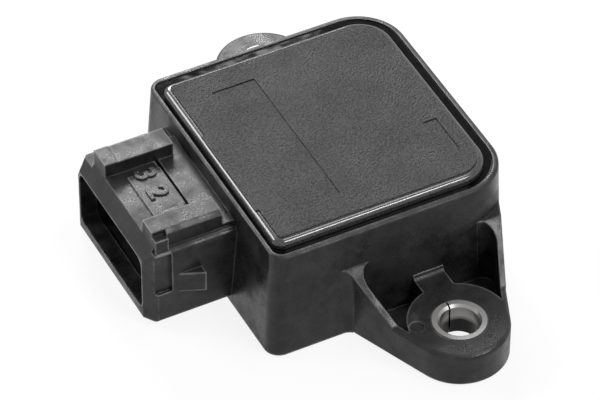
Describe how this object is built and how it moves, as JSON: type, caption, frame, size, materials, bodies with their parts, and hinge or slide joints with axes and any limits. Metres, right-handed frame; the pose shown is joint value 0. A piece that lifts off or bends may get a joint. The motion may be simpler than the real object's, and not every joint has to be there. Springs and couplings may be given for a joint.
{
  "type": "throttle position sensor",
  "caption": "Black moulded rotary sensor with a sealed cover, a bladed plug connector, two bushed fixing ears and a turning D-drive rotor inside.",
  "frame": {"origin": "rotor axis at the plane of the mounting face, midway between the two fixing holes", "axes": "+Z along the rotor axis towards the cover, -X towards the plug, Y through the two fixing holes"},
  "size_m": [0.0494, 0.071, 0.0181],
  "materials": {
    "moulded_plastic": "fine moulded grain",
    "cover_plastic": "eroded mould grain",
    "sealing_compound": "wet gloss",
    "bush_steel": "plated",
    "tinned_blade": "tinned",
    "spring_bronze": "bright",
    "board": "matt",
    "carbon_print": "satin",
    "silver_print": "matt",
    "rotor_plastic": "satin",
    "brush_metal": "bright",
    "seal_rubber": "matt"
  },
  "bodies": {
    "sensor_body": {"housing": "moulded_plastic", "cover": "cover_plastic", "cover_sealant": "sealing_compound", "front_ear_bush": "bush_steel", "rear_ear_bush": "bush_steel", "terminal_1": "tinned_blade", "terminal_2": "tinned_blade", "terminal_3": "tinned_blade", "contact_spring_1": "spring_bronze", "contact_spring_2": "spring_bronze", "contact_spring_3": "spring_bronze", "track_plate": "board", "resistive_track": "carbon_print", "collector_track": "silver_print", "supply_lead": "silver_print", "ground_lead": "silver_print", "mounting_oring": "seal_rubber"},
    "wiper_rotor": {"rotor": "rotor_plastic", "wiper_spring": "spring_bronze", "track_brush": "brush_metal", "collector_brush": "brush_metal"}
  },
  "joints": [
    {"name": "rotor_turn", "type": "hinge", "parent": "sensor_body", "child": "wiper_rotor", "pos_m": [0, 0, 0], "axis": [0, 0, 1], "range_deg": [0, 88]}
  ]
}
